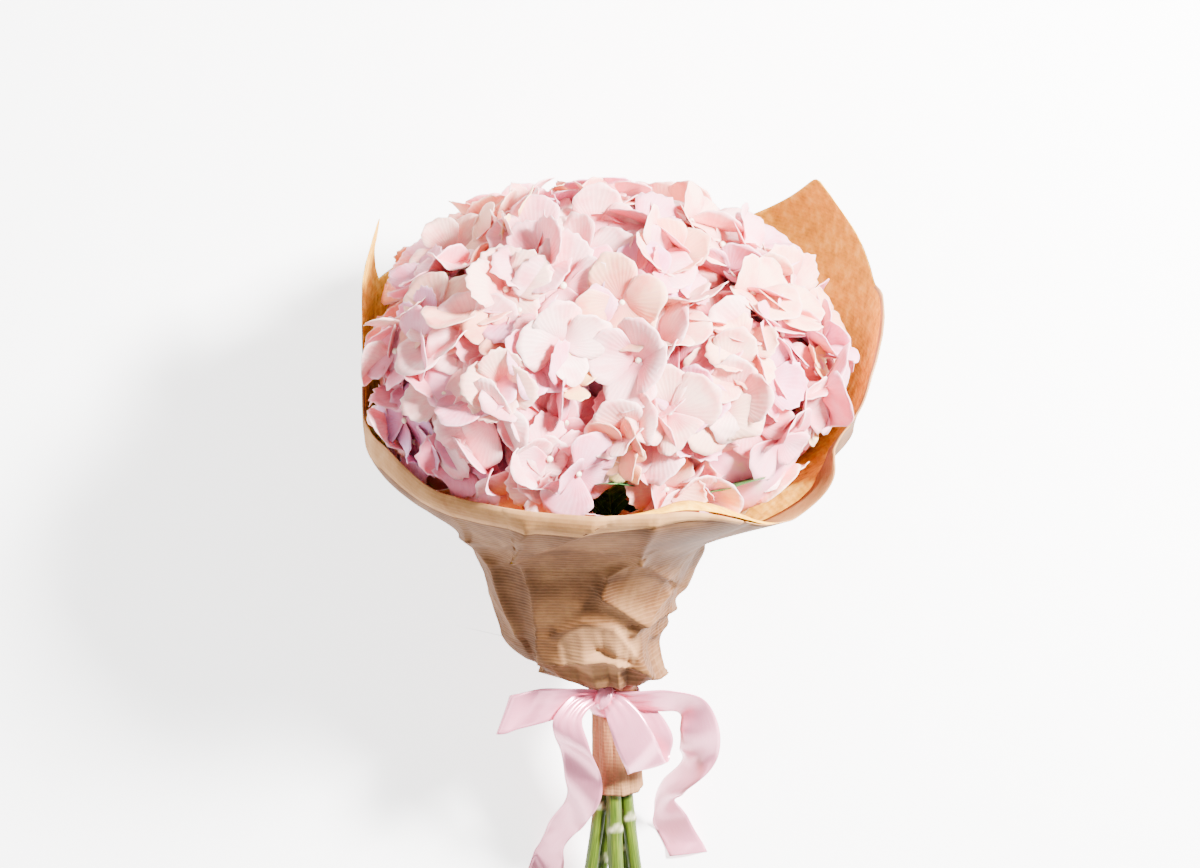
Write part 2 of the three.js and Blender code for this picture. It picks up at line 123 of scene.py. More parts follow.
# Paper: how far each wall swells out just above the tie and over what height, then how much it
# gains through the cone, the flare and the top
PAPER_NECK = 13.9
WALLS = {
    "left": (44, 40, 21, 70, 4),
    "right": (12, 28, 38, 90, 24),
    "front": (24, 36, 38, 73, 0),
    "back": (36, 28, 82, 42, 22),
}
RIM_FRONT = 172
RIM_BACK = 250
RIM_PEAK_RIGHT = 53
RIM_PEAK_LEFT = 52
RIM_DIP = 30
CORNER_OUT = 16
DRAWN_IN = 13
CREASE_STRENGTH = 2.4
RIB_RUN = 1.12
SHEET_COLUMNS = 300
SHEET_ROWS = 150
# The share of a line's rows that the tube below the tie takes, against one share for the rest
TUBE_SHARE = 0.34
# The middle of the lighter patch above the tie, in metres
LIGHTER_PATCH = (-0.001, -0.169, 0.146)
# How far the paper stays inside the solids' box
PAPER_KEEP = 0.4
# Points closer than this are joined
WELD = 0.0005

# Spans of the UV maps in metres, which the patterns are scaled by
STEM_GIRTH = 0.027
SHEET_GIRTH = 0.84
RIBBON_SPAN = (0.0125, 0.16)
BAND_SPAN = (0.025, 0.016)

# Leaves: the foot, the tip and the way the blade faces, in bouquet axes
LEAVES = {
    "front": ((6.4, 13.4, 80), (6, 137, 188), (0, -0.65, 0.76)),
    "right": ((34.3, 23.8, 80), (97, 117, 184), (-0.4, -0.5, 0.76)),
}
LEAF_HALF = 31
LEAF_STALK = 0.28

# Creases seen on the front of the paper: points right of the tie and up past it, then the height of
# the ridge and how far it fades to the left and to the right of its direction
FRONT_CREASES = (
    (((-73, 94), (-62, 79), (-58, 63), (-48, 35)), 3.0, 2.0, 9.0),
    (((-46, 86), (-40, 67), (-30, 8)), 3.4, 10.0, 2.2),
    (((-46, 85), (-3, 104)), 2.6, 8.0, 1.6),
    (((-46, 85), (-41, 103)), 1.8, 3.0, 3.0),
    (((-80, 97), (-59, 91), (-45, 98)), 1.8, 4.0, 1.8),
    (((21, 84), (30, 104)), 2.2, 2.0, 5.0),
    (((21, 84), (1, 88)), 1.3, 2.0, 4.0),
    (((21, 84), (39, 71)), 1.8, 5.0, 2.0),
    (((21, 84), (4, 74), (1, 61)), 2.0, 5.0, 1.8),
    (((1, 61), (23, 44), (19, 37)), 2.2, 5.0, 2.2),
    (((23, 44), (42, 50)), 2.6, 6.0, 1.6),
    (((24, 46), (40, 61)), 1.6, 2.0, 4.0),
    (((32, 34), (39, 42)), 1.6, 3.0, 1.8),
    (((-24, 39), (-10, 45), (8, 41), (17, 28), (23, 16)), 1.3, 1.6, 6.0),
    (((-2, 26), (16, 19)), -2.4, 2.4, 3.0),
    (((-21, 19), (-2, 21), (15, 17), (30, 13)), 4.5, 9.0, 1.6),
)

# The ribbon. Each step: right of the tie, up past it and above the floor, the crosswise way, the width
LEFT_LOOP = (
    ((-1, -5.5, 110), (0, 0.9, 0.45), 8),
    ((-13, -6.5, 117), (0.05, 0.92, 0.4), 14),
    ((-27, -9.5, 119), (0.12, 0.97, 0.2), 20),
    ((-42, -12.5, 118), (0.18, 0.97, 0.1), 23.5),
    ((-55, -16, 116), (0.22, 0.97, 0), 24.5),
    ((-60, -18, 111), (0.24, 0.97, -0.1), 24.5),
    ((-54, -16, 106), (0.22, 0.97, -0.1), 24),
    ((-36, -11, 107), (0.15, 0.97, 0), 20),
    ((-14, -8, 111), (0, 0.97, 0.1), 11),
    ((-1, -6, 106), (0, 0.95, 0.3), 8),
)
RIGHT_LOOP = (
    ((2, -6, 108), (0.3, 0.9, 0.2), 8),
    ((9, -10, 117), (0.75, 0.6, 0.2), 15),
    ((16, -21, 119), (0.88, 0.47, 0.05), 22),
    ((22, -34, 114), (0.9, 0.43, 0), 25),
    ((27, -45, 106), (0.9, 0.43, 0), 25),
    ((30, -52, 97), (0.9, 0.43, -0.05), 25),
    ((33, -47, 91.5), (0.93, 0.36, -0.1), 25),
    ((34, -32, 95), (0.95, 0.25, -0.1), 23),
    ((25, -16, 104), (0.9, 0.45, 0), 16),
    ((5, -9, 106), (0.3, 0.9, 0.2), 8),
)
LEFT_TAIL = (
    ((-2, -5, 110), (-0.8, 0.5, 0), 9),
    ((-13, -10, 119), (-0.7, 0.7, 0), 13),
    ((-20, -20, 121), (-0.97, 0.2, 0), 18),
    ((-17.5, -33, 114), (-0.97, 0.15, -0.1), 22),
    ((-14, -45, 102), (-0.95, 0.2, -0.2), 23.5),
    ((-11, -58, 90), (-0.95, 0.3, -0.2), 24),
    ((-10, -70, 78), (-0.8, 0.35, -0.4), 24),
    ((-15, -82, 60), (-0.75, 0.35, -0.55), 24),
    ((-23, -94, 40), (-0.8, 0.2, -0.5), 24),
    ((-30, -106, 20), (-0.35, 0.1, -0.6), 24),
    ((-33, -118, 7), (-0.7, 0.2, -0.4), 25),
    ((-37, -135, 0.8), (-0.95, 0.3, 0), 25),
    ((-41, -155, 0.6), (-0.95, 0.3, 0), 25),
)
RIGHT_TAIL = (
    ((4, -6, 108), (0.2, 0.8, 0.3), 8),
    ((21, -7, 113), (0.1, 0.6, 0.7), 15),
    ((42, -9, 111), (0.2, 0.5, 0.85), 23),
    ((58, -13, 104), (0.6, 0.5, 0.6), 25),
    ((63, -27, 93), (1, 0.05, 0.1), 25),
    ((63, -43, 76), (0.9, -0.25, 0.15), 25),
    ((58, -56, 59), (0.45, -0.35, 0.6), 25),
    ((48, -68, 42), (0.5, -0.3, 0.7), 25),
    ((42, -80, 24), (0.35, 0.1, 0.8), 24),
    ((46, -94, 8), (0.85, 0.2, 0.3), 25),
    ((54, -108, 0.8), (0.95, 0.1, 0), 25),
    ((58, -116, 0.6), (0.95, 0.1, 0), 25),
)
WAVE_HEIGHT = 2.3
WAVES = 3.4
KNOT_AT = (3, -6.5 - REST_BACK, 112)
BAND_LOW = -16
BAND_WIDTH = 13


# ---- small maths ----


def clamp01(x):
    return min(1.0, max(0.0, x))


def ease(low, high, x):
    """A smooth step from 0 at low to 1 at high."""
    t = clamp01((x - low) / (high - low))
    return t * t * (3 - 2 * t)


def tent(middle, half, x):
    """1 at the middle, falling straight to 0 at half away."""
    return clamp01(1 - abs(x - middle) / half)


def zigzag(x):
    """A triangle wave from -1 to 1 with a period of 1."""
    return 4 * abs(x - math.floor(x + 0.5)) - 1


def place(u, v, w):
    """The scene's place of a point in bouquet axes."""
    y = w * math.cos(LEAN) - v * math.sin(LEAN) - REST_BACK
    z = w * math.sin(LEAN) + v * math.cos(LEAN) + TIE_HEIGHT
    return Vector((u, y, z))


def unplace(p):
    """The bouquet axes of a place in the scene."""
    y = p.y + REST_BACK
    z = p.z - TIE_HEIGHT
    return p.x, z * math.cos(LEAN) - y * math.sin(LEAN), y * math.cos(LEAN) + z * math.sin(LEAN)


def heading(u, v, w):
    return place(u, v, w) - place(0, 0, 0)


def curve_point(points, t):
    """A point on a smooth curve through the given points, evenly paced by span."""
    last = len(points) - 1
    span = min(int(t * last), last - 1)
    x = t * last - span
    p1, p2 = points[span], points[span + 1]
    p0 = points[span - 1] if span > 0 else p1 * 2 - p2
    p3 = points[span + 2] if span + 2 <= last else p2 * 2 - p1
    d1 = math.sqrt((p1 - p2).length) or 1.0
    d0 = math.sqrt((p0 - p1).length) or d1
    d2 = math.sqrt((p2 - p3).length) or d1
    m1 = ((p1 - p0) / d0 - (p2 - p0) / (d0 + d1) + (p2 - p1) / d1) * d1
    m2 = ((p2 - p1) / d1 - (p3 - p1) / (d1 + d2) + (p3 - p2) / d2) * d1
    return p1 + m1 * x + (-p1 * 3 + p2 * 3 - m1 * 2 - m2) * x * x + (p1 * 2 - p2 * 2 + m1 + m2) * x**3


# ---- paper form ----


def axis_u(w):
    """Where the paper's middle lies, right of the tie."""
    if w < 0:
        return NECK_OFFSET - w * 0.033
    return NECK_OFFSET * (1 - ease(0, 70, w)) + 5 * ease(90, 200, w)


def wall_reach(side, w):
    """How far a wall of the paper stands from its middle."""
    bulge, spread, cone, flare, top = WALLS[side]
    swell = 1 - (1 - clamp01(w / spread)) ** 2
    reach = PAPER_NECK + max(0.0, -w) * 0.032 + bulge * swell + cone * clamp01((w - 20) / 85)
    return reach + flare * ease(100, 172, w) + top * clamp01((w - 175) / 100) - 12 * ease(255, 315, w)


def fold(angle, w):
    """The broad folds that run up the paper."""
    opened = ease(6, 40, w) * (1 - 0.55 * ease(110, 180, w))
    return opened * (1.9 * math.sin(3 * angle + 0.035 * w) + 1.1 * math.sin(4 * angle - 0.02 * w + 1))


def drawn_in(degrees, w):
    """Behind the corner the paper is drawn in, which leaves the corner standing out."""
    return DRAWN_IN * tent(73, 17, degrees) * ease(100, 135, w) * (1 - ease(165, 205, w))


def paper_point(angle, w, out=0.0):
    """A point of the sheet: angle 0 is the front and a quarter turn the right."""
    degrees = math.degrees(angle)
    out += fold(angle, w) + CORNER_OUT * tent(55, 14, degrees) * ease(110, 150, w)
    a = wall_reach("right" if math.sin(angle) >= 0 else "left", w) + out - drawn_in(degrees, w)
    b = wall_reach("front" if math.cos(angle) >= 0 else "back", w) + out
    return axis_u(w) + a * math.sin(angle), b * math.cos(angle), w


def rim_height(degrees):
    """The rim dips to the corner at the front right and rises behind it to two peaks."""
    turn = (degrees + 180) % 360 - 180
    front = RIM_FRONT + 12 * ease(40, 65, -turn) - RIM_DIP * ease(15, 52, turn) * (1 - ease(54, 68, turn))
    rise = ease(62, 102, turn) if turn > 0 else ease(84, 98, -turn)
    peaks = RIM_PEAK_RIGHT * tent(127, 23 if turn < 127 else 30, turn) ** 1.3
    peaks += RIM_PEAK_LEFT * tent(-98, 11, turn)
    return front + (RIM_BACK - front) * rise + peaks


def crease_height(x, y):
    """How far the creases on the front lift the paper at a place right of and up from the tie."""
    total = 0.0
    for points, height, left, right in FRONT_CREASES:
        best = None
        for (x0, y0), (x1, y1) in zip(points, points[1:]):
            dx, dy = x1 - x0, y1 - y0
            t = clamp01(((x - x0) * dx + (y - y0) * dy) / (dx * dx + dy * dy))
            away = math.hypot(x - x0 - dx * t, y - y0 - dy * t)
            if best is None or away < best[0]:
                best = (away, dx * (y - y0) - dy * (x - x0))
        total += CREASE_STRENGTH * height * math.exp(-best[0] / (left if best[1] > 0 else right))
    return total


def crumple(angle, w):
    """Sharp pleats from the tie, creases and flat facets pressed into the sheet."""
    pleats = 2.2 * ease(1, 10, w) * (1 - ease(22, 75, w)) * zigzag(13 * angle / TAU + 0.3 * math.sin(3 * angle))
    tube = 0.7 * (1 - ease(-6, 4, w)) * zigzag(9 * angle / TAU + 0.2)
    x, y = 2.6 * math.cos(angle), 2.6 * math.sin(angle)
    distances, _ = noise.voronoi(Vector((x, y, w / 34)))
    ridge = math.exp(-(distances[1] - distances[0]) / 0.12)
    body = ease(5, 25, w) * (1 - 0.75 * ease(115, 160, w))
    facets = body * (1.5 * ridge - 1.3 * distances[0])
    fine = 0.3 * noise.noise(Vector((x * 6, y * 6, w / 9)))
    front = 0.0
    if math.cos(angle) > -0.2:
        u, v, _ = paper_point(angle, w)
        facing = ease(-0.2, 0.15, math.cos(angle)) * ease(-2, 6, w)
        front = facing * crease_height(u, w * math.cos(LEAN) - v * math.sin(LEAN))
        facets *= 1 - 0.6 * facing
    side = 6.0 * math.exp(-(((math.degrees(angle) - 88) / 9) ** 2)) * ease(64, 68, w) * (1 - ease(92, 108, w))
    return pleats + tube + facets + fine + front + side


# ---- making pieces ----


def colour(code):
    """An sRGB hex colour as linear RGBA."""
    channels = [int(code[i : i + 2], 16) / 255 for i in (1, 3, 5)]
    return tuple(c / 12.92 if c <= 0.04045 else ((c + 0.055) / 1.055) ** 2.4 for c in channels) + (1.0,)


def add(tree, kind, inputs=None, stops=None, **settings):
    """Adds a node with its settings, input values or links, and colour stops."""
    made = tree.nodes.new(kind)
    for name, value in settings.items():
        setattr(made, name, value)
    for name, value in (inputs or {}).items():
        if isinstance(value, bpy.types.NodeSocket):
            tree.links.new(value, made.inputs[name])
        else:
            made.inputs[name].default_value = value
    if stops:
        ramp = made.color_ramp
        while len(ramp.elements) < len(stops):
            ramp.elements.new(1.0)
        for element, (position, code) in zip(ramp.elements, stops):
            element.position = position
            element.color = colour(code)
    return made


def new_material(name):
    """An empty material and its node tree."""
    made = bpy.data.materials.new(name)
    made.use_nodes = True
    made.node_tree.nodes.clear()
    return made, made.node_tree


def surface(tree, **inputs):
    """Closes a material with its shader and output."""
    shader = add(tree, "ShaderNodeBsdfPrincipled", {k.replace("_", " "): v for k, v in inputs.items()})
    add(tree, "ShaderNodeOutputMaterial", {"Surface": shader.outputs["BSDF"]})


def coordinate(tree, kind):
    return add(tree, "ShaderNodeTexCoord").outputs[kind]


def stretched(tree, scale):
    """UV places drawn out, for threads and fibres that run along a piece."""
    inputs = {"Vector": coordinate(tree, "UV"), "Scale": (*scale, 1.0)}
    return add(tree, "ShaderNodeMapping", inputs).outputs["Vector"]


def cloud(tree, where, scale, detail, roughness=0.5):
    inputs = {"Vector": where, "Scale": scale, "Detail": detail, "Roughness": roughness}
    return add(tree, "ShaderNodeTexNoise", inputs).outputs


def maths(tree, operation, *values):
    return add(tree, "ShaderNodeMath", dict(enumerate(values)), operation=operation).outputs[0]


def apart(tree, first, second):
    inputs = {0: first, 1: second}
    return add(tree, "ShaderNodeVectorMath", inputs, operation="DISTANCE").outputs["Value"]


def remap(tree, value, start, end, low, high):
    """Carries a value from start and end to low and high, and holds it between them."""
    inputs = {"Value": value, "From Min": start, "From Max": end, "To Min": low, "To Max": high}
    return add(tree, "ShaderNodeMapRange", inputs).outputs["Result"]


def shaded(tree, factor, places, codes):
    """A colour ramp with a colour at each place."""
    inputs = {"Fac": factor}
    return add(tree, "ShaderNodeValToRGB", inputs, stops=list(zip(places, codes))).outputs["Color"]


def mix(tree, factor, first, second, **settings):
    inputs = {"Factor": factor, 6: first, 7: second}
    return add(tree, "ShaderNodeMix", inputs, data_type="RGBA", **settings).outputs[2]


def bump(tree, height, strength, distance, **settings):
    inputs = {"Height": height, "Strength": strength, "Distance": distance}
    return add(tree, "ShaderNodeBump", inputs, **settings).outputs["Normal"]


def lay_grid(bm, columns, rows, laid):
    """Adds a grid. For a vertex and how far it is across (-1 to 1) and along (0 to 1), laid gives UV and place."""
    layers = bm.loops.layers.uv
    uv = layers.get("UVMap") or layers.new("UVMap")
    made = bmesh.ops.create_grid(bm, x_segments=columns, y_segments=rows, size=1)["verts"]
    uv_of = {}
    for vert in made:
        uv_of[vert], vert.co = laid(vert, vert.co.x, (vert.co.y + 1) / 2)
    for face in {f for vert in made for f in vert.link_faces}:
        for loop in face.loops:
            loop[uv].uv = uv_of[loop.vert]
    return made


def finish_piece(name, bm, materials, nodes, thickness=0.0, recalculate=False):
    """Turns millimetre mesh data into a piece that rides on the bouquet and stands for its CAD nodes."""
    if recalculate:
        bmesh.ops.recalc_face_normals(bm, faces=bm.faces[:])
    bmesh.ops.scale(bm, vec=(MM, MM, MM), verts=bm.verts[:])
    mesh = bpy.data.meshes.new(name)
    bm.to_mesh(mesh)
    bm.free()
    mesh.shade_smooth()
    for material in materials:
        mesh.materials.append(material)
    piece = bpy.data.objects.new(name, mesh)
    bpy.context.scene.collection.objects.link(piece)
    if thickness:
        wall = piece.modifiers.new("Thickness", "SOLIDIFY")
        wall.thickness = thickness * MM
        wall.offset = 0
    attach(piece, "root")
    if nodes:
        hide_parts(*nodes)
    return piece


# ---- florets ----


def dome_spots(count):
    """Even spots over the dome, each with the head it grows from and the way it faces."""
    centres = {name: place(*at) for name, at in HEADS.items()}
    draw = random.Random(5)
    for k in range(count):
        height = 1 - (2 * k + 1) / count + draw.uniform(-0.03, 0.03)
        turn = k * math.pi * (3 - math.sqrt(5)) + draw.uniform(-0.05, 0.05)
        flat = math.sqrt(max(0.0, 1 - height * height))
        x, y = flat * math.cos(turn), flat * math.sin(turn)
        boxy = 2 + DOME_FULLER_LEFT * clamp01(-2 * x)
        reach = (abs(x) ** boxy + abs(y) ** boxy + abs(height) ** boxy) ** (-1 / boxy)
        u = DOME_CENTRE[0] + DOME_HALF[0] * reach * x
        v = DOME_CENTRE[1] + DOME_HALF[1] * reach * y
        on_dome = place(u, v, DOME_CENTRE[2] + DOME_HALF[2] * reach * height)
        name = min(centres, key=lambda key: (on_dome - centres[key]).length)
        aim = (on_dome - centres[name]).normalized()
        spot = inside_paper(on_dome.lerp(centres[name] + aim * HEAD_RADIUS, VALLEY), FLORET_ROOM)
        spot.x *= 1 - 0.08 * ease(0, 90, spot.y)
        # The leaf at the front looks out between the lowest florets and the rim.
        window_u, window_half, window_v, window_up = LEAF_WINDOW
        over_leaf = v > window_v and abs(u - window_u) < window_half and spot.y + REST_BACK < window_up
        if unplace(spot)[2] > LOWEST_FLORET and not over_leaf:
            yield name, spot, aim, centres[name], k


def held_back(x, limit):
    """Eases a coordinate that would pass a limit to just short of it."""
    over = x - (limit - 8)
    return x if over <= 0 else limit - 8 * math.exp(-over / 8)


def inside_paper(p, room=0.0):
    """Presses a point that would go through the paper back to its inner side, with room to spare."""
    u, v, w = unplace(p)
    axis = axis_u(w)
    angle = math.degrees(math.atan2(u - axis, v))
    rim = rim_height(angle)
    # At the front right the paper stands open and its inside shows beside the florets.
    open_side = ease(4, 24, angle) * (1 - ease(112, 136, angle)) * ease(132, 160, w)
    margin = 4 + room + (room * 0.6 + 3) * open_side
    a = wall_reach("right" if u >= axis else "left", w) - margin
    b = wall_reach("front" if v >= 0 else "back", w) - margin
    a -= 1.35 * drawn_in(math.degrees(math.atan2((u - axis) / a, v / b)), w)
    share = math.hypot((u - axis) / a, v / b)
    if share > 1e-6:
        reach = math.hypot(u - axis, v) / share
        s = reach * (1 - share)
        gap, soft = 1.6, 9.0
        above = 60 if angle > 4 else 14
        if s < soft and w < rim + above:
            squeezed = gap + (soft - gap) * math.exp((s - soft) / (soft - gap))
            squeezed += (s - squeezed) * ease(rim + above - 10, rim + above, w)
            scale = (reach - squeezed) / (reach * share)
            u, v = axis + (u - axis) * scale, v * scale
    p = place(u, v, w)
    p.x = -held_back(-p.x, -PETALS_KEEP["left"] - 7 * ease(20, 60, p.y) - room)
    p.y = held_back(p.y, PETALS_KEEP["top"] - room * 0.5)
    p.z = held_back(p.z, PETALS_KEEP["up"] - room * 0.5)
    return p


def add_sepal(bm, layer, matrix, shape, tint, depth, serrated):
    """One broad sepal: a grid rounded to a disc, narrowed to its foot, cupped and waved."""
    length, width, cup, crease, wave, phase, point = shape
    made = bmesh.ops.create_grid(bm, x_segments=SEPAL_CELLS, y_segments=SEPAL_CELLS, size=1)["verts"]
    for vert in made:
        x, y, _ = vert.co
        odd = (round((x + 1) * SEPAL_CELLS / 2) + round((y + 1) * SEPAL_CELLS / 2)) % 2
        rim = max(abs(x), abs(y)) > 0.99
        across = x * math.sqrt(1 - y * y / 2)
        along = (y * math.sqrt(1 - x * x / 2) + 1) / 2
        edge = clamp01(math.hypot(across, 2 * along - 1))
        half = width / 2 * (0.5 + 0.5 * ease(-0.05, 0.55, along))
        angle = math.atan2(across, 2 * along - 1)
        ripple = math.sin(2 * angle + phase) + 0.35 * math.sin(3 * angle + 2 * phase) + 0.1 * math.sin(9 * angle)
        rise = cup * along**2 * length + crease * abs(across) * half + wave * edge**3 * ripple
        frill = 1 + 0.02 * edge**6 * math.sin(9 * angle + phase) + point * edge**4 * math.exp(-((angle / 0.3) ** 2))
        if serrated and rim and odd:
            frill -= 0.055
        vert.co = matrix @ Vector((across * half * frill, 1.0 + length * along * frill, rise))
        vert.co = inside_paper(vert.co)
        # depth sets how much painted shade the sepal takes deep in the head.
        vert[layer] = (across * 0.5 + 0.5, along, tint, depth)


def add_floret(bm, layer, hearts, spot, aim, centre, seed, size):
    """Four sepals about a bud on a stalk; every third floret sits deeper in the head."""
    draw = random.Random(seed * 7919 + 11)
    inner = seed % 3 == 2
    sink = draw.uniform(14, 24) if inner else draw.uniform(3, 12)
    lean = Quaternion((draw.gauss(0, 1), draw.gauss(0, 1), draw.gauss(0, 1)), math.radians(draw.gauss(0, 26)))
    facing = Vector((0, 0, 1)).rotation_difference(aim)
    middle = spot - aim * sink
    base = Matrix.Translation(middle) @ (lean @ facing).to_matrix().to_4x4()
    spin = draw.uniform(0, TAU)
    reach = size / 2 * draw.uniform(0.84, 1.18)
    openness = draw.uniform(-8, 32)
    # Lilac to the lower left of the dome, painted shade on the side turned from the light; peach to the lower right,
    # near white and pink between.
    u, v, w = unplace(spot)
    low = 1 - ease(150, 250, w)
    tint = draw.betavariate(1.7, 1.7) * 0.76 + 0.1 + 0.08 * ease(160, 290, w)
    tint += 0.34 * low * clamp01(u / 100) - 0.3 * low * clamp01(-u / 100) + draw.uniform(-0.05, 0.05)
    if draw.random() < 0.035:
        tint = 0.97
        reach *= 0.6
    tint = min(0.99, max(0.01, tint))
    serrated = draw.random() < (0.45 if u < -10 else 0.12)
    point = draw.uniform(0, 0.12)
    for k in range(4):
        turn = spin + TAU * k / 4 + math.radians(draw.uniform(-9, 9))
        pitch = math.radians(openness + draw.uniform(-16, 18) + (5 if k % 2 else 0))
        roll = math.radians(draw.uniform(-14, 14))
        around = base @ Matrix.Rotation(turn, 4, "Z") @ Matrix.Rotation(pitch, 4, "X") @ Matrix.Rotation(roll, 4, "Y")
        length = reach * draw.uniform(0.86, 1.08)
        width = length * draw.uniform(0.98, 1.24)
        shape = (length, width, *(draw.uniform(*span) for span in SEPAL_SPANS), point)
        # The value before serrated sets the sepal's painted shade: full for the deeper florets, less the shallower a
        # floret sits.
        add_sepal(bm, layer, around, shape, tint, 1.0 if inner else sink / 40, serrated)
    bud = bmesh.ops.create_icosphere(hearts, subdivisions=2, radius=draw.uniform(1.8, 2.4))["verts"]
    for vert in bud:
        vert.co.z = vert.co.z * 0.85 + 1.6
    stalk_length = max(4.0, (middle - centre).length - CORE_RADIUS * 0.8)
    stalk = bmesh.ops.create_cone(
        hearts, cap_ends=True, segments=6, radius1=1.5, radius2=0.9, depth=stalk_length
    )["verts"]
    foot = Matrix.Translation(middle) @ facing.to_matrix().to_4x4() @ Matrix.Translation((0, 0, -stalk_length / 2))
    for verts, matrix in ((bud, base), (stalk, foot)):
        bmesh.ops.transform(hearts, matrix=matrix, verts=verts)
        for vert in verts:
            vert.co = inside_paper(vert.co)
    for face in {f for vert in bud for f in vert.link_faces}:
        face.material_index = 1


# ---- materials ----


def sepal_material(props):
    """Fresh hydrangea sepals: thin, matt and faintly waxy, near white to pink with fine veins."""
    made, tree = new_material("hydrangea_sepal")
    spot = add(tree, "ShaderNodeAttribute", attribute_name="sepal")
    parts = add(tree, "ShaderNodeSeparateColor", {"Color": spot.outputs["Color"]})
    across, along, tint = (parts.outputs[k] for k in ("Red", "Green", "Blue"))
    # Each floret has its own shade: lilac, pink, near white, peach and a few cream.
    codes = ("#C598C4", "#DDA2C2", "#F2A5AF", "#FBCAC4", "#F8C3AA", "#F4AF8C", "#EFD582")
    own = shaded(tree, tint, (0.0, 0.2, 0.4, 0.58, 0.74, 0.9, 1.0), codes)
    clouded = cloud(tree, coordinate(tree, "Object"), 70.0, 3.0)["Fac"]
    blush = remap(tree, clouded, 0.45, 0.68, 0.0, 0.8)
    rosy = mix(tree, blush, own, colour(props.blush), blend_type="MULTIPLY")
    # Veins fan out from the foot of the sepal.
    fan = maths(tree, "DIVIDE", maths(tree, "SUBTRACT", across, 0.5), maths(tree, "ADD", along, 0.25))
    wobble = maths(tree, "MULTIPLY_ADD", clouded, 5.0, maths(tree, "MULTIPLY", fan, VEINS))
    vein = maths(tree, "SINE", wobble)
    veined = mix(tree, remap(tree, vein, 0.5, 1.0, 0.0, 0.2), rosy, colour(props.vein))
    # Painted shade: the foot of a sepal and the florets deeper in the head are darkened to a stronger rose, where shade
    # gathers between them.
    foot = remap(tree, along, 0.0, 0.5, 0.6, 0.0)
    inner = maths(tree, "MULTIPLY_ADD", spot.outputs["Alpha"], 0.6, foot)
    deeper = mix(tree, inner, veined, colour(props.deep))
    # A thin, paler margin near white: a painted highlight along the sepal's edge.
    flat = add(tree, "ShaderNodeCombineXYZ", {"X": across, "Y": along}).outputs[0]
    margin = remap(tree, apart(tree, flat, (0.5, 0.5, 0.0)), 0.45, 0.5, 0.0, 0.22)
    surface(
        tree,
        Base_Color=mix(tree, margin, deeper, colour("#FFF6F4")),
        Roughness=0.6,
        Subsurface_Weight=0.22,
        Subsurface_Radius=(0.0030, 0.0010, 0.0009),
        Subsurface_Scale=1.0,
        Specular_IOR_Level=0.3,
        Normal=bump(tree, vein, 0.15, 0.0003),
    )
    return made


def heart_material():
    """The core and stalks inside a head: soft matt rose, partly the stalks' own colour and partly painted light,
    lightened so the hollows between florets glow pink instead of going dark; paler and sandy in patches.
    """
    made, tree = new_material("floret_stalks")
    clouded = cloud(tree, coordinate(tree, "Object"), 60.0, 3.0)["Fac"]
    shade = shaded(tree, clouded, (0.35, 0.6, 0.75), ("#E07C98", "#EBA0AE", "#DDBFA0"))
    surface(tree, Base_Color=shade, Roughness=0.75)
    return made


def bud_material():
    """The unopened centre of a floret: a waxy cream bead with tiny darker dots."""
    made, tree = new_material("floret_bud")
    dots = add(tree, "ShaderNodeTexVoronoi", {"Vector": coordinate(tree, "Object"), "Scale": 700.0})
    shade = shaded(tree, dots.outputs["Distance"], (0.1, 0.35, 0.8), ("#D9B98A", "#F6EBC9", "#F3E6DA"))
    surface(tree, Base_Color=shade, Roughness=0.4, Subsurface_Weight=0.1, Subsurface_Scale=0.002)
    return made


def stem_material():
    """Cut green stems: smooth skin with long faint ribs, and pale scars at the joints."""
    made, tree = new_material("green_stem")
    fibres = cloud(tree, stretched(tree, (1400.0, 60.0)), 1.0, 4.0)["Fac"]
    shade = shaded(tree, fibres, (0.3, 0.5, 0.72), ("#2C4208", "#485C10", "#6C7A1E"))
    mark = add(tree, "ShaderNodeAttribute", attribute_name="scar")
    surface(
        tree,
        Base_Color=mix(tree, mark.outputs["Fac"], shade, colour("#E3D9B4")),
        Roughness=0.5,
        Specular_IOR_Level=0.3,
        Subsurface_Weight=0.08,
        Subsurface_Scale=0.002,
        Normal=bump(tree, fibres, 0.4, 0.0004),
    )
    return made


def leaf_material():
    """Hydrangea leaf blade: dark, slightly glossy green with a net of paler veins."""
    made, tree = new_material("hydrangea_leaf")
    flat = add(tree, "ShaderNodeSeparateXYZ", {"Vector": coordinate(tree, "UV")}).outputs
    side = maths(tree, "ABSOLUTE", maths(tree, "SUBTRACT", flat["X"], 0.5))
    slant = maths(tree, "MULTIPLY_ADD", side, -1.1, flat["Y"])
    ribs = maths(tree, "SINE", maths(tree, "MULTIPLY", slant, 62.0))
    midrib = remap(tree, side, 0.0, 0.025, 0.8, 0.0)
    veins = maths(tree, "MAXIMUM", remap(tree, ribs, 0.82, 1.0, 0.0, 0.6), midrib)
    clouded = cloud(tree, coordinate(tree, "Object"), 160.0, 4.0)["Fac"]
    blade = shaded(tree, clouded, (0.35, 0.7), ("#2E6632", "#4C8842"))
    surface(
        tree,
        Base_Color=mix(tree, veins, blade, colour("#86A868")),
        Roughness=0.45,
        Normal=bump(tree, veins, 0.5, 0.0006, invert=True),
    )
    return made


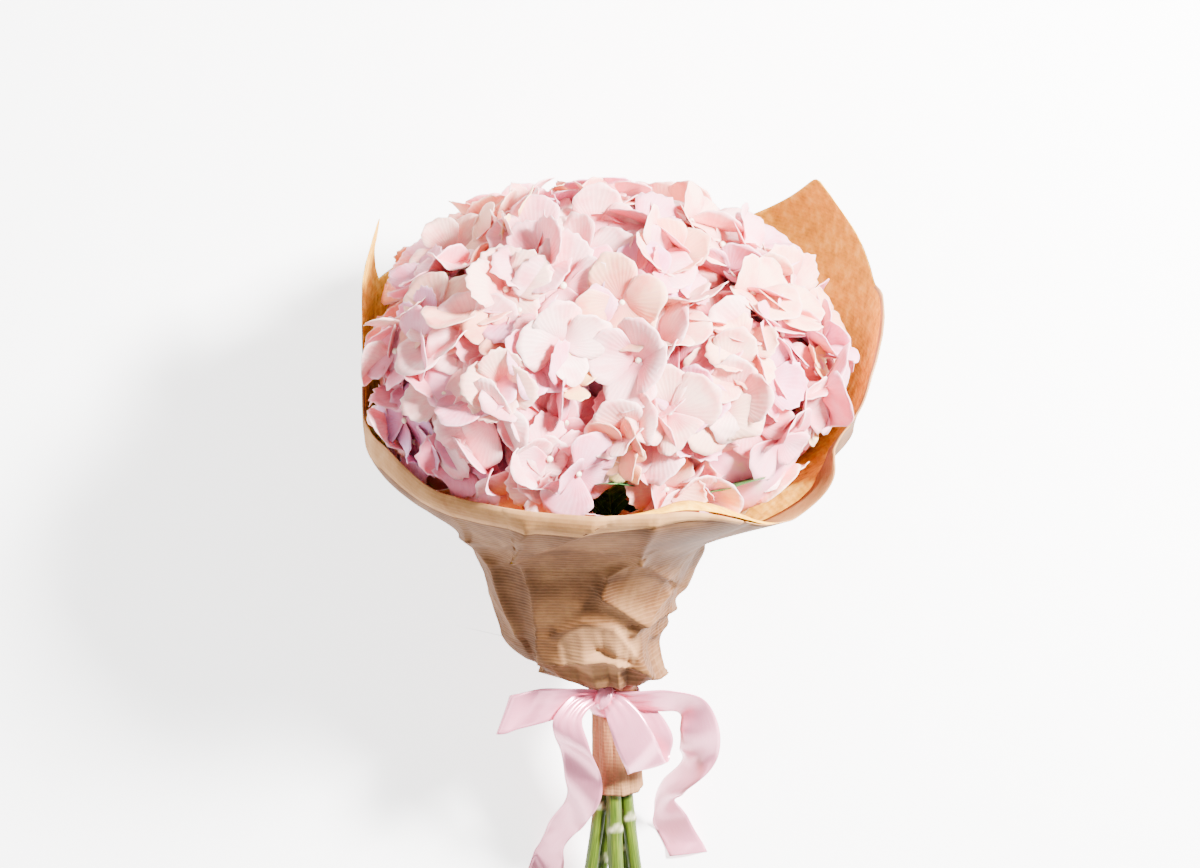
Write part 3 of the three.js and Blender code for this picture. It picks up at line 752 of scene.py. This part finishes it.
def kraft_material(name, shades, rib_colour, rib_pitch, rib_strength, roughness, blotch=0.03, pale=0.0):
    """Ribbed kraft paper: machine-glazed brown fibre pressed with fine straight ribs 2.7 mm apart."""
    made, tree = new_material(name)
    height = add(tree, "ShaderNodeSeparateXYZ", {"Vector": coordinate(tree, "UV")}).outputs["Y"]
    where = coordinate(tree, "Object")
    mottled = cloud(tree, where, 1 / blotch, 6.0, 0.62)["Fac"]
    base = shaded(tree, mottled, (0.32, 0.5, 0.68), shades)
    # Below the tie the sheet is painted lighter, painted light on the tube that the ribbon shades; a patch just above
    # the tie is lighter too.
    painted_light_below = remap(tree, height, -0.014, -0.004, pale, 0.0)
    patch = remap(tree, apart(tree, where, LIGHTER_PATCH), 0.024, 0.027, pale, 0.0)
    base = mix(tree, maths(tree, "MAXIMUM", painted_light_below, patch), base, colour("#BA8A60"))
    fibre = cloud(tree, stretched(tree, (900.0, 260.0)), 1.0, 5.0, 0.7)
    flecked = mix(tree, 0.22, base, fibre["Color"], blend_type="SOFT_LIGHT")
    rib = maths(tree, "SINE", maths(tree, "MULTIPLY", height, TAU / rib_pitch))
    line = remap(tree, rib, 0.2, 1.0, 0.0, rib_strength)
    relief = maths(tree, "MULTIPLY_ADD", fibre["Fac"], 0.5, rib)
    surface(
        tree,
        Base_Color=mix(tree, line, flecked, colour(rib_colour)),
        Roughness=roughness,
        Specular_IOR_Level=0.05,
        Normal=bump(tree, relief, 0.08 + 0.5 * rib_strength, 0.0003),
    )
    return made


def satin_material(props):
    """Polyester satin ribbon: smooth pale pink floats that shine along their length like pearl."""
    made, tree = new_material("woven_satin_ribbon")
    grain = cloud(tree, stretched(tree, (2200.0, 120.0)), 1.0, 3.0)["Fac"]
    shade = mix(tree, grain, colour(props.satin), colour("#F9A9BF"))
    # Painted shade: where the ribbon is gathered into the knot, the hollows of its pleats are darkened to a deeper
    # pink.
    gathered = add(tree, "ShaderNodeAttribute", attribute_name="gathered")
    surface(
        tree,
        Base_Color=mix(tree, gathered.outputs["Fac"], shade, colour(props.fold)),
        Metallic=0.3,
        Roughness=0.3,
        Specular_IOR_Level=1.0,
        Sheen_Weight=0.05,
        Sheen_Roughness=0.4,
        Anisotropic=0.5,
        Normal=bump(tree, grain, 0.12, 0.0002),
    )
    return made


# ---- property groups ----


def colour_text(name, description, default):
    return bpy.props.StringProperty(name=name, description=description, default=default)


def distance(name, description, default, smallest):
    return bpy.props.FloatProperty(
        name=name, description=description, default=default, min=smallest, subtype="DISTANCE", unit="LENGTH"
    )


class BouquetHeads(bpy.types.PropertyGroup):
    florets: bpy.props.IntProperty(
        name="Florets", description="Florets spread round the whole dome, the hidden ones included", default=560, min=60
    )
    size: distance("Floret size", "Distance across a floret", 0.053, 0.02)
    blush: colour_text("Blush", "Pink that clouds the sepals", "#F4B4BE")
    vein: colour_text("Vein", "Colour of the fine veins", "#D9809A")
    # Painted shade colour for the feet of sepals and the florets deep in a head.
    deep: colour_text("Deep rose", "Colour at the foot of sepals and deep in a head", "#CB5068")


class BouquetPaper(bpy.types.PropertyGroup):
    thickness: distance("Paper thickness", "Thickness of the sheet", 0.0005, 0.0001)
    rib_pitch: distance("Rib pitch", "Distance between pressed ribs", 0.0027, 0.0005)
    kraft: colour_text("Rib colour", "Colour of the raised ribs", "#94694A")


class BouquetRibbon(bpy.types.PropertyGroup):
    width: distance("Ribbon width", "Width of the ribbon", 0.025, 0.005)
    thickness: distance("Ribbon thickness", "Thickness of the ribbon", 0.0004, 0.0001)
    length: distance("Ribbon length", "Length that the bow was cut to", 0.78, 0.2)
    # Painted shade colour in the hollows of the gathers at the knot.
    fold: colour_text("Fold", "Colour deep in the gathers at the knot", "#DC5578")
    satin: colour_text("Satin", "Colour of the ribbon", "#EC7E9D")


class BouquetStage(bpy.types.PropertyGroup):
    height: distance("Camera height", "Height of the camera above the floor", 2.6, 0.8)
    reference: distance("Picture plane", "Height at which the bouquet is seen in its own size", 0.14, 0.0)
    floor: colour_text("Floor", "Colour of the floor", "#F4F3F2")
    glow: bpy.props.FloatProperty(name="Floor glow", description="Light the floor gives off", default=2.6, min=0.0)


# ---- operators ----


class BOUQUET_OT_heads(bpy.types.Operator):
    """Build the five hydrangea heads, floret by floret"""

    bl_idname = "bouquet.heads"
    bl_label = "Hydrangea heads"

    def execute(self, context):
        props = context.scene.bouquet_heads
        sepal, heart, bud = sepal_material(props), heart_material(), bud_material()
        blooms = {}
        for name, at in HEADS.items():
            petals, hearts = bmesh.new(), bmesh.new()
            layer = petals.verts.layers.float_color.new("sepal")
            core = bmesh.ops.create_icosphere(hearts, subdivisions=4, radius=CORE_RADIUS - 2)["verts"]
            for vert in core:
                vert.co = vert.co * (1 + 0.06 * noise.noise(vert.co / 14)) + place(*at)
                vert.co = inside_paper(vert.co)
            blooms[name] = (petals, layer, hearts)
        for name, spot, aim, centre, seed in dome_spots(props.florets):
            petals, layer, hearts = blooms[name]
            add_floret(petals, layer, hearts, spot, aim, centre, seed, props.size / MM)
        for name, (petals, _, hearts) in blooms.items():
            finish_piece(f"florets_{name}", petals, [sepal], [f"head_{name}"], thickness=0.45)
            finish_piece(f"heart_{name}", hearts, [heart, bud], [])
        return {"FINISHED"}


class BOUQUET_OT_stems(bpy.types.Operator):
    """Build the five cut stems"""

    bl_idname = "bouquet.stems"
    bl_label = "Stems"

    def execute(self, context):
        material = stem_material()
        for name, at in HEADS.items():
            angle = math.radians(NECK_ANGLE[name])
            neck = (NECK_OFFSET + NECK_RING * math.sin(angle), NECK_RING * math.cos(angle))
            reach = math.hypot(at[0] - neck[0], at[1] - neck[1])
            back = min(14, reach) / reach
            seat = (at[0] - (at[0] - neck[0]) * back, at[1] - (at[1] - neck[1]) * back, at[2] - CORE_RADIUS + 18)
            end_v = -11.7 if neck[1] < 0 else neck[1] * 0.9
            line = [
                place(CUT_END[name], end_v, -STEM_LENGTH_BELOW),
                place(*neck, -TUBE_BELOW),
                place(*neck, -14),
                place(*neck, 2),
                place(neck[0] + (seat[0] - neck[0]) * 0.42, neck[1] + (seat[1] - neck[1]) * 0.42, seat[2] * 0.52),
                place(*seat),
            ]
            self.stem(name, line, TOP_STEM_RADIUS if name == "top" else STEM_RADIUS, material)
        return {"FINISHED"}

    def stem(self, name, line, radius, material):
        bm = bmesh.new()
        scar = bm.verts.layers.float.new("scar")
        rows, sides = 240, 20
        seed = sum(map(ord, name))
        joint = STEM_JOINTS[name]
        length = sum((after - before).length for before, after in zip(line, line[1:])) * MM
        spots = []
        for j in range(rows + 1):
            t = j / rows
            middle = curve_point(line, t)
            way = (curve_point(line, min(1, t + 0.004)) - curve_point(line, max(0, t - 0.004))).normalized()
            side = way.cross(Vector((0, 0, 1))).normalized()
            spots.append((middle, side, way.cross(side)))

        def laid(vert, x, t):
            i, j = round((x + 1) / 2 * sides), round(t * rows)
            middle, side, up = spots[j]
            turn = TAU * i / sides
            rough = noise.noise(Vector((math.cos(turn), math.sin(turn), j * 0.12 + seed)))
            round_out = radius * (0.985 + 0.03 * rough)
            along = unplace(middle)[2]
            # A leaf scar is a crescent on the upper side.
            facing = clamp01(-math.sin(turn - 0.3))
            ring = math.exp(-(((along - joint - 3.5 * facing**2) / 1.3) ** 2))
            vert[scar] = 0.7 if j == 0 else ring * facing
            round_out += 0.8 * math.exp(-(((along - joint) / 3.0) ** 2)) + 0.9 * ring * facing
            co = middle + side * round_out * math.cos(turn) + up * round_out * math.sin(turn)
            co.z = max(co.z, 0.0)
            return (STEM_GIRTH * i / sides, length * j / rows), co

        lay_grid(bm, sides, rows, laid)
        bmesh.ops.remove_doubles(bm, verts=bm.verts[:], dist=2 * WELD)
        bmesh.ops.holes_fill(bm, edges=[e for e in bm.edges if e.is_boundary], sides=0)
        finish_piece(f"stalk_{name}", bm, [material], [f"stem_{name}"], recalculate=True)


class BOUQUET_OT_leaves(bpy.types.Operator):
    """Build the leaves that show between the heads and the paper"""

    bl_idname = "bouquet.leaves"
    bl_label = "Leaves"

    def execute(self, context):
        material = leaf_material()
        for name, (base, tip, face) in LEAVES.items():
            bm = bmesh.new()
            lay_grid(bm, 24, 60, self.blade(place(*base), place(*tip), heading(*face).normalized()))
            finish_piece(f"blade_{name}", bm, [material], [f"leaf_{name}"], thickness=0.5)
        return {"FINISHED"}

    def blade(self, start, tip, out):
        way = tip - start
        length = way.length
        way.normalize()
        across = way.cross(out).normalized()

        def laid(vert, i, t):
            # A bare stalk for a little over a quarter, then a toothed blade that arches and waves.
            blade = clamp01((t - LEAF_STALK) / (1 - LEAF_STALK))
            half = LEAF_HALF * math.sin(math.pi * blade**0.8) ** 0.85 if 0 < blade < 1 else 0
            half = max(1.6 - 1.2 * t, half)
            teeth = 1 - 0.05 * abs(i) ** 8 * (0.5 + 0.5 * zigzag(t * 34))
            side = i * half * teeth
            arch = length * 0.13 * math.sin(math.pi * t) - 0.006 * side * side
            wave = 1.2 * abs(i) ** 2 * math.sin(t * 26) * min(1, half / 20)
            return (i / 2 + 0.5, t), start + way * (length * t) + across * side + out * (arch + wave)

        return laid


class BOUQUET_OT_paper(bpy.types.Operator):
    """Build the gathered kraft paper with its ribs, pleats and creases"""

    bl_idname = "bouquet.paper"
    bl_label = "Kraft paper"

    def execute(self, context):
        props = context.scene.bouquet_paper
        browns = ("#4E3019", "#664328", "#7E5939")
        # The inside's gold is partly the paper's own colour and partly painted light, brightened to stand in for light
        # shining through the sheet.
        golds = ("#BC8620", "#DFA229", "#F2C254")
        tans = ("#8C6038", "#A4764A", "#B98C5E")
        pitch = props.rib_pitch
        outer = kraft_material("ribbed_kraft_outside", browns, props.kraft, pitch, 0.3, 0.6, pale=0.55)
        inner = kraft_material("ribbed_kraft_inside", golds, "#F6CE70", pitch, 0.1, 0.75, blotch=0.007)
        hem = kraft_material("pressed_kraft_fold", tans, "#C59A6E", pitch, 0.1, 0.65)
        bm = bmesh.new()
        turns = [360 * i / SHEET_COLUMNS - 180 for i in range(SHEET_COLUMNS + 1)]
        lengths = [[w * RIB_RUN for w in self.heights(turn)] for turn in turns]
        self.sheet(bm, [self.profile(turn) for turn in turns], lengths)
        bmesh.ops.remove_doubles(bm, verts=bm.verts[:], dist=WELD)
        bmesh.ops.recalc_face_normals(bm, faces=bm.faces[:])
        if sum(self.outwardness(face) for face in bm.faces) < 0:
            bmesh.ops.reverse_faces(bm, faces=bm.faces[:])
        bmesh.ops.solidify(bm, geom=bm.faces[:], thickness=props.thickness / MM)
        bm.normal_update()
        for face in bm.faces:
            if self.outwardness(face) < 0:
                face.material_index = 1
        finish_piece("kraft_wrap", bm, [outer, inner], ["paper_wrap"])

        # The upper edge is turned outward along the front, inward behind the corner, and rolled in
        # between the two.
        folds = {
            "kraft_hem_outside": (-88, 34, hem, self.hem_outside),
            "kraft_hem_inside": (36, 104, hem, self.hem_inside),
            "kraft_roll": (2, 54, inner, self.rolled_edge),
        }
        for name, (start, end, material, shape) in folds.items():
            bm = bmesh.new()
            count = max(20, round((end - start) * 1.6))
            self.sheet(bm, [shape(start + (end - start) * i / count) for i in range(count + 1)])
            finish_piece(name, bm, [material], [], thickness=0.4)
        return {"FINISHED"}

    def sheet(self, bm, lines, walked=None):
        """A grid laid over lines of points; the ribs run across the lines, by how far each is walked."""
        columns, rows = len(lines) - 1, len(lines[0]) - 1
        if walked is None:
            walked = [[0.0] for _ in lines]
            for line, lengths in zip(lines, walked):
                for before, after in zip(line, line[1:]):
                    lengths.append(lengths[-1] + (after - before).length)

        def laid(vert, x, t):
            i, j = round((x + 1) / 2 * columns), round(t * rows)
            return (SHEET_GIRTH * i / columns, walked[i][j] * MM), lines[i][j]

        lay_grid(bm, columns, rows, laid)

    def outwardness(self, face):
        """More than nothing where a face looks away from the paper's middle."""
        centre = face.calc_center_median()
        u, v, w = unplace(centre)
        tu, tv, _ = unplace(centre + face.normal)
        return (u - axis_u(w)) * (tu - u) + v * (tv - v)

    def on_paper(self, degrees, w, out=0.0, lift=0.0):
        """A point of the crumpled sheet, kept inside the solids' box and off the floor."""
        angle = math.radians(degrees)
        u, v, w = paper_point(angle, w, out + crumple(angle, w))
        point = place(u, v, w + lift)
        low, high = (Vector(corner) / MM for corner in CAD_BOX)
        point.x = min(max(point.x, low.x + PAPER_KEEP), high.x - PAPER_KEEP)
        point.y = min(point.y, high.y - PAPER_KEEP)
        point.z = max(point.z, 0.3)
        return point

    def heights(self, degrees):
        """The heights of one line of the sheet, from its lower edge to its rim."""
        steps = [j / SHEET_ROWS * (1 + TUBE_SHARE) - TUBE_SHARE for j in range(SHEET_ROWS + 1)]
        return [t / TUBE_SHARE * TUBE_BELOW if t < 0 else t * rim_height(degrees) for t in steps]

    def profile(self, degrees):
        line = []
        for w in self.heights(degrees):
            # Over the tie the front hangs down in a lip.
            lip = 7 * math.exp(-(((w - 22) / 6) ** 2)) * ease(-50, -15, degrees) * (1 - ease(75, 100, degrees))
            line.append(self.on_paper(degrees, w, 0.35 * lip, -lip))
        return line

    def hem_outside(self, degrees):
        width = (14 - 12.5 * ease(-14, 32, degrees)) * ease(-89, -76, degrees) + 0.6
        steps = ((0.0, 0.3), (0.6, 1.0), (1.1, 0.6), (1.3, -0.2), (1.3, -0.4), (1.1, -0.7), (0.8, -1.0))
        return self.turned(degrees, width, steps)

    def hem_inside(self, degrees):
        width = 17 * ease(36, 52, degrees) * (1 - ease(70, 104, degrees)) + 0.6
        steps = ((0.0, 0.3), (-0.7, 0.9), (-1.3, 0.4), (-1.6, -0.3), (-1.8, -0.65), (-1.4, -1.0))
        return self.turned(degrees, width, steps)

    def turned(self, degrees, width, steps):
        """Steps out from the sheet and past its rim: above it in millimetres, below it in widths."""
        rim = rim_height(degrees)
        return [self.on_paper(degrees, rim + (d if d > 0 else d * width), out) for out, d in steps]

    def rolled_edge(self, degrees):
        width = 21 * ease(2, 24, degrees) * (1 - ease(40, 54, degrees)) + 0.6
        rim = rim_height(degrees)
        steps = ((0.0, 0.2), (-0.3, 0.32), (-0.6, 0.32), (-0.85, 0.2), (-1.0, -0.05), (-0.97, -0.3))
        return [self.on_paper(degrees, rim, out * width, up * width * 0.55) for out, up in steps]


class BOUQUET_OT_ribbon(bpy.types.Operator):
    """Tie the satin ribbon round the neck in a bow with two tails"""

    bl_idname = "bouquet.ribbon"
    bl_label = "Satin bow"

    def execute(self, context):
        props = context.scene.bouquet_ribbon
        satin = satin_material(props)
        bm = bmesh.new()
        bm.verts.layers.float.new("gathered")
        for steps in (LEFT_LOOP, RIGHT_LOOP, LEFT_TAIL, RIGHT_TAIL):
            self.strip(bm, steps)
        self.band(bm)
        bow = finish_piece("satin_bow", bm, [satin], ["ribbon"], thickness=props.thickness / MM)
        knot = bmesh.new()
        ball = bmesh.ops.create_uvsphere(knot, u_segments=28, v_segments=18, radius=1)["verts"]
        for vert in ball:
            x, y, z = vert.co
            pinch = 1 - 0.16 * abs(math.sin(3.5 * math.atan2(z, x) + 1.2 * y))
            vert.co = Vector(KNOT_AT) + Vector((x * 7 * pinch + 1.5 * y, y * 7.5, z * 7 * pinch))
        knotted = finish_piece("bow_knot", knot, [satin], [])
        return {"FINISHED"}

    def strip(self, bm, steps):
        middles = [Vector(at) - Vector((0, REST_BACK, 0)) for at, _, _ in steps]
        halves = [Vector(across).normalized() * width / 2 for _, across, width in steps]
        deep = bm.verts.layers.float["gathered"]

        def laid(vert, k, t):
            half = curve_point(halves, t)
            way = curve_point(middles, min(1, t + 0.005)) - curve_point(middles, max(0, t - 0.005))
            crown = way.cross(half).normalized()
            # Gathered parts lie in pleats; open parts are slightly crowned and wave along their length.
            gathered = clamp01(1.5 - half.length / 8)
            lying = (1 - k * k) + WAVE_HEIGHT * math.sin(WAVES * TAU * t + 1.2 * k)
            pleats = zigzag(1.6 * k + 0.2)
            # The hollows of the gathered pleats are marked for painted shade.
            vert[deep] = 0.85 * gathered * clamp01(0.5 - 0.5 * pleats)
            co = curve_point(middles, t) + half * k + crown * (1.3 * gathered * pleats + (1 - gathered) * lying)
            co.z = max(co.z, 0.4)
            return (k * RIBBON_SPAN[0], t * RIBBON_SPAN[1]), co

        lay_grid(bm, 10, 110, laid)

    def band(self, bm):
        """The turn round the neck, with a crown and small waves."""
        columns = 60

        def laid(vert, x, t):
            angle = TAU * round((x + 1) / 2 * columns) / columns
            w = BAND_LOW + BAND_WIDTH * t
            r = PAPER_NECK + 0.6 + 1.4 + math.sin(math.pi * t) + 0.3 * math.sin(12 * t + 2 * angle)
            co = place(axis_u(w) + r * math.sin(angle), r * math.cos(angle), w)
            return (t * BAND_SPAN[0], angle * BAND_SPAN[1]), co

        bmesh.ops.remove_doubles(bm, verts=lay_grid(bm, columns, 6, laid), dist=WELD)


class BOUQUET_OT_stage(bpy.types.Operator):
    """Set the floor, the lights and the camera"""

    bl_idname = "bouquet.stage"
    bl_label = "Floor, lights and camera"

    def execute(self, context):
        props = context.scene.bouquet_stage
        made, tree = new_material("matt_studio_floor")
        grain = cloud(tree, coordinate(tree, "Object"), 40.0, 2.0)["Fac"]
        # The floor is a white light table, which keeps the background pale and shadows faint.
        surface(
            tree,
            Base_Color=mix(tree, grain, colour(props.floor), colour("#FAF9F8")),
            Roughness=0.9,
            Emission_Color=(1.0, 0.995, 0.99, 1.0),
            Emission_Strength=props.glow,
        )
        bm = bmesh.new()
        bmesh.ops.create_grid(bm, x_segments=4, y_segments=4, size=6)
        mesh = bpy.data.meshes.new("studio_floor")
        bm.to_mesh(mesh)
        bm.free()
        mesh.materials.append(made)
        floor = bpy.data.objects.new("studio_floor", mesh)
        context.scene.collection.objects.link(floor)
        floor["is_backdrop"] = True

        world = bpy.data.worlds.new("studio")
        context.scene.world = world
        world.use_nodes = True
        sky = world.node_tree.nodes["Background"].inputs
        sky["Color"].default_value = (1.0, 0.995, 0.99, 1.0)
        sky["Strength"].default_value = 0.5

        self.softbox(context, "key_softbox", (0.95, 0.5, 1.25), 0.32, 250)
        self.softbox(context, "fill_softbox", (-1.3, -0.5, 1.3), 1.2, 20)

        data = bpy.data.cameras.new("camera")
        data.sensor_width = 36
        data.lens = data.sensor_width * (props.height - props.reference) / (PHOTO_WIDTH * PIXEL * MM)
        camera = bpy.data.objects.new("camera", data)
        camera.location = (0.0, CAMERA_Y, props.height)
        context.scene.collection.objects.link(camera)
        context.scene.camera = camera
        return {"FINISHED"}

    def softbox(self, context, name, at, size, power):
        data = bpy.data.lights.new(name, "AREA")
        data.shape = "SQUARE"
        data.size = size
        data.energy = power
        light = bpy.data.objects.new(name, data)
        light.location = at
        light.rotation_euler = (Vector((0, 0, LIGHTS_AIM)) - Vector(at)).to_track_quat("-Z", "Y").to_euler()
        context.scene.collection.objects.link(light)


class BOUQUET_PT_panel(bpy.types.Panel):
    """Every step of the bouquet with its settings"""

    bl_idname = "BOUQUET_PT_panel"
    bl_label = "Hydrangea bouquet"
    bl_space_type = "VIEW_3D"
    bl_region_type = "UI"
    bl_category = "Bouquet"

    def draw(self, context):
        for step in STEPS:
            box = self.layout.box()
            box.operator(f"bouquet.{step}")
            group = getattr(context.scene, f"bouquet_{step}", None)
            for key in group.__annotations__ if group else ():
                box.prop(group, key)


STEPS = ("heads", "stems", "leaves", "paper", "ribbon", "stage")
GROUPS = {
    "bouquet_heads": BouquetHeads,
    "bouquet_paper": BouquetPaper,
    "bouquet_ribbon": BouquetRibbon,
    "bouquet_stage": BouquetStage,
}
CLASSES = (
    *GROUPS.values(),
    BOUQUET_OT_heads,
    BOUQUET_OT_stems,
    BOUQUET_OT_leaves,
    BOUQUET_OT_paper,
    BOUQUET_OT_ribbon,
    BOUQUET_OT_stage,
    BOUQUET_PT_panel,
)


def register():
    for each in CLASSES:
        bpy.utils.register_class(each)
    for name, group in GROUPS.items():
        setattr(bpy.types.Scene, name, bpy.props.PointerProperty(type=group))


def unregister():
    for name in GROUPS:
        delattr(bpy.types.Scene, name)
    for each in reversed(CLASSES):
        bpy.utils.unregister_class(each)


def main():
    register()
    bpy.ops.bouquet.heads()
    bpy.ops.bouquet.stems()
    bpy.ops.bouquet.leaves()
    bpy.ops.bouquet.paper()
    bpy.ops.bouquet.ribbon()
    bpy.ops.bouquet.stage()
    boxes = {"cad": CAD_BOX, "visual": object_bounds()}
    {key: [list(map(float, corner)) for corner in box] for key, box in boxes.items()}


if __name__ == "__main__":
    main()
